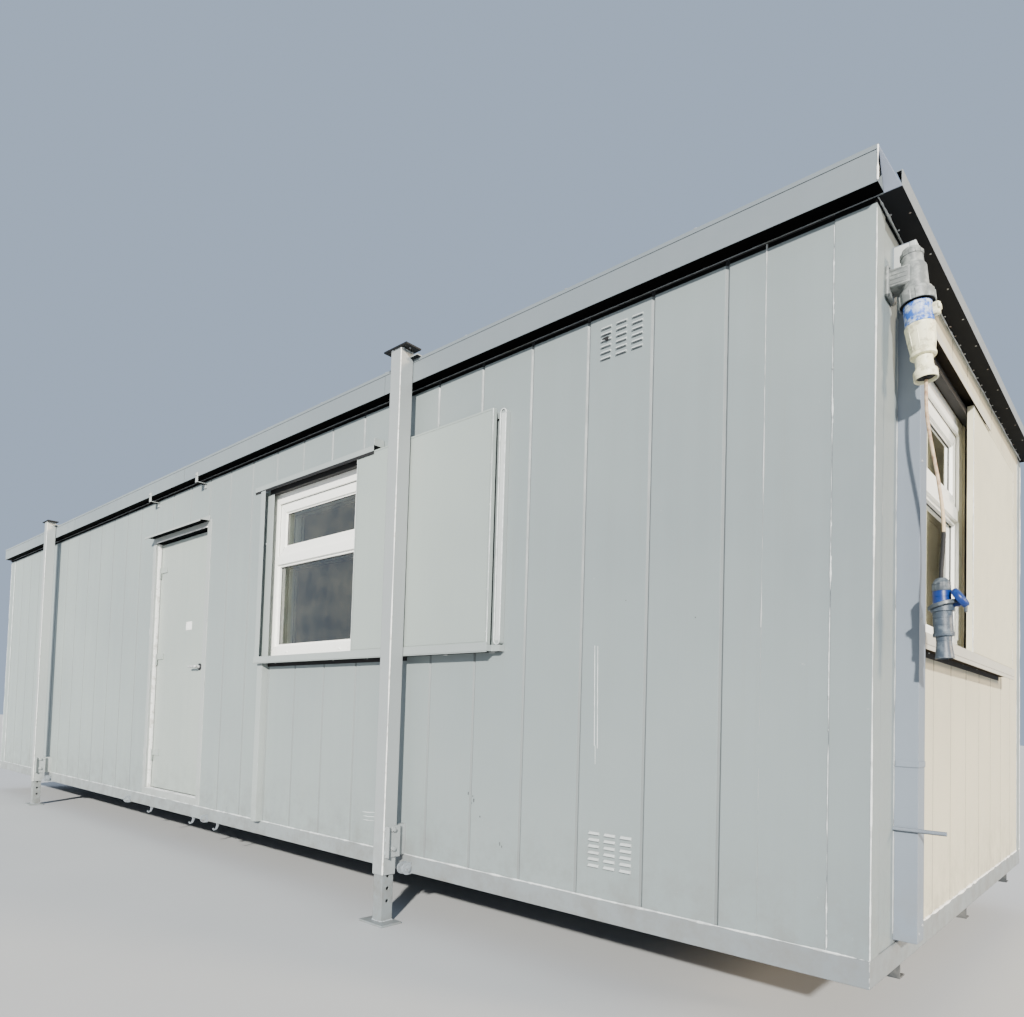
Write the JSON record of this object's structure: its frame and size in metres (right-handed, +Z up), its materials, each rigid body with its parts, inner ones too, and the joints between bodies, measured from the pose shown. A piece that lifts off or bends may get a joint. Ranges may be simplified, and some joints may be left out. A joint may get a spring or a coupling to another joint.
{
  "type": "portable site cabin",
  "caption": "Long grooved steel site cabin on jack legs, with a side door, shuttered windows, a deep fascia and end gutters.",
  "frame": {"origin": "centre of the cabin's footprint box, on the ground under it", "axes": "+X along the length towards the end with the power inlet, -Y out of the door wall, +Z up"},
  "size_m": [10.0641, 3.418, 2.928],
  "materials": {
    "wall_steel": "satin, lightly scuffed",
    "steel_base": "satin, dusty",
    "floor_board": "matt",
    "roof_board": "matt",
    "roof_steel": "matt",
    "ceiling_board": "matt",
    "sign_plastic": "satin",
    "lining_board": "matt",
    "trim_steel": "satin",
    "leg_steel": "satin, scuffed",
    "door_steel": "satin",
    "handle_metal": "satin",
    "white_plastic": "semi-gloss",
    "window_glass": "polished",
    "shutter_steel": "satin",
    "duct_steel": "satin",
    "inlet_plastic": "satin",
    "coupler_plastic": "satin",
    "connector_plastic": "satin",
    "lead_rubber": "matt"
  },
  "bodies": {
    "cabin": {"base_rail": "steel_base", "floor_joists": "steel_base", "floor_board": "floor_board", "floor_bearers": "steel_base", "corner_posts": "wall_steel", "wall_front_far": "wall_steel", "wall_front_over_door": "wall_steel", "wall_front_mid": "wall_steel", "wall_front_under_window": "wall_steel", "wall_front_over_window": "wall_steel", "wall_front_near": "wall_steel", "wall_rear": "wall_steel", "wall_far_end": "wall_steel", "wall_near_left": "wall_steel", "wall_near_under_window": "wall_steel", "wall_near_over_window": "wall_steel", "wall_near_right": "wall_steel", "lining_front": "lining_board", "lining_rear": "lining_board", "lining_ends": "lining_board", "roof_deck": "roof_board", "ceiling": "ceiling_board", "roof_sheet": "roof_steel", "fascias": "trim_steel", "gutters": "trim_steel", "gutter_end_plates": "trim_steel", "leg_posts": "leg_steel", "leg_feet": "leg_steel", "leg_caps": "leg_steel", "leg_brackets": "leg_steel", "door_frame": "wall_steel", "door_drip": "trim_steel", "hinge_pins": "trim_steel", "window_frame": "white_plastic", "window_sash": "white_plastic", "window_glass": "window_glass", "end_window_frame": "white_plastic", "end_window_sash": "white_plastic", "end_window_glass": "window_glass", "shutter_tracks_front": "trim_steel", "shutter_tracks_end": "trim_steel", "vents": "trim_steel", "lashing_eyes": "steel_base", "cable_duct": "duct_steel", "power_inlet": "inlet_plastic", "coupler": "coupler_plastic", "hanging_lead": "lead_rubber", "line_connector": "connector_plastic"},
    "door": {"door_leaf": "door_steel", "door_handle": "handle_metal", "door_sign": "sign_plastic", "hinge_straps": "trim_steel"},
    "front_shutter": {"shutter_front": "shutter_steel"},
    "end_shutter": {"shutter_end": "shutter_steel"}
  },
  "joints": [
    {"name": "door_hinge", "type": "hinge", "parent": "cabin", "child": "door", "pos_m": [-0.6495, -1.484, 1.34], "axis": [0, 0, -1], "range_deg": [0, 100]},
    {"name": "front_shutter_slide", "type": "slide", "parent": "cabin", "child": "front_shutter", "axis": [-1, 0, 0], "range_m": [0, 1.02]},
    {"name": "end_shutter_slide", "type": "slide", "parent": "cabin", "child": "end_shutter", "axis": [0, -1, 0], "range_m": [0, 0.865]}
  ]
}
